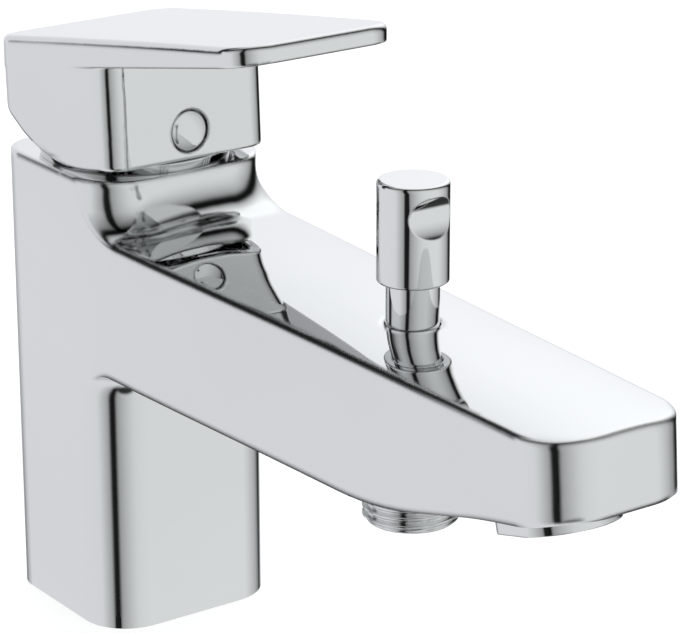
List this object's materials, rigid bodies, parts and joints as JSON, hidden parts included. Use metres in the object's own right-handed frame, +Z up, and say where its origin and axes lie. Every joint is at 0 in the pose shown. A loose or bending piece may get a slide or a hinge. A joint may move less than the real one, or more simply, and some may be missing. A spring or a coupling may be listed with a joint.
{
  "type": "bath tap",
  "caption": "Single-lever bath and shower tap with a square column, a tapered level spout, a lift-up diverter knob, a threaded shower outlet and a tilted aerator.",
  "frame": {"origin": "centre of the column's foot, on the deck that the tap stands on", "axes": "+Z up along the column, -Y along the spout toward its outlet, +X to the right of someone who stands in front of the spout and faces the tap"},
  "size_m": [0.0468, 0.1998, 0.1497],
  "materials": {
    "chrome_casting": "polished chrome plate on a brass casting",
    "chrome_trim": "polished chrome plate",
    "chrome_lever": "polished chrome plate",
    "chrome_thread": "chrome plate on a cut thread",
    "bare_brass": "turned brass",
    "steel": "stainless steel, fine turned",
    "spring_steel": "drawn spring wire",
    "black_rubber": "moulded rubber",
    "grey_plastic": "moulded plastic",
    "white_plastic": "moulded plastic",
    "black_plastic": "moulded plastic",
    "white_ceramic": "lapped ceramic"
  },
  "bodies": {
    "tap_body": {"body": "chrome_casting", "base_gasket": "black_rubber", "cartridge_base": "grey_plastic", "port_seals": "black_rubber", "fixed_disc": "white_ceramic", "cartridge_housing": "grey_plastic", "cartridge_nut": "bare_brass", "bonnet_ring": "chrome_trim", "upper_seat": "bare_brass", "diverter_bush": "bare_brass", "bush_seal": "black_rubber", "diverter_spring": "spring_steel", "shower_nipple": "chrome_thread", "valve_housing": "grey_plastic", "valve_spring": "spring_steel", "aerator_shell": "chrome_trim", "aerator_insert": "grey_plastic", "aerator_washer": "black_rubber"},
    "cartridge_rotor": {"rotor": "white_plastic", "pivot_pin": "steel"},
    "handle": {"lever": "chrome_lever", "spindle": "steel", "lever_button": "chrome_trim", "grub_screw": "steel"},
    "mixing_disc": {"moving_disc": "white_ceramic", "disc_carrier": "white_plastic"},
    "diverter": {"diverter_knob": "chrome_trim", "diverter_rod": "bare_brass", "diverter_piston": "black_plastic"},
    "check_valve": {"valve_poppet": "black_plastic"}
  },
  "joints": [
    {"name": "temperature_turn", "type": "hinge", "parent": "tap_body", "child": "cartridge_rotor", "pos_m": [0, 0, 0.112], "axis": [0, 0, 1], "range_deg": [-50, 50]},
    {"name": "flow_lift", "type": "hinge", "parent": "cartridge_rotor", "child": "handle", "pos_m": [0, 0, 0.112], "axis": [-1, 0, 0], "range_deg": [0, 25]},
    {"name": "disc_slide", "type": "slide", "parent": "cartridge_rotor", "child": "mixing_disc", "axis": [0, -1, 0], "range_m": [0, 0.0055]},
    {"name": "diverter_lift", "type": "slide", "parent": "tap_body", "child": "diverter", "axis": [0, 0, 1], "range_m": [0, 0.0059], "stiffness_N_per_m": 150, "springref_m": -0.01, "deforming": ["diverter_spring"]},
    {"name": "check_valve_open", "type": "slide", "parent": "tap_body", "child": "check_valve", "axis": [0, 0, -1], "range_m": [0, 0.0019], "stiffness_N_per_m": 60, "springref_m": -0.004, "deforming": ["valve_spring"]}
  ],
  "couplings": [
    {"joint": "disc_slide", "follows": "flow_lift", "m_per_rad": 0.0124}
  ]
}
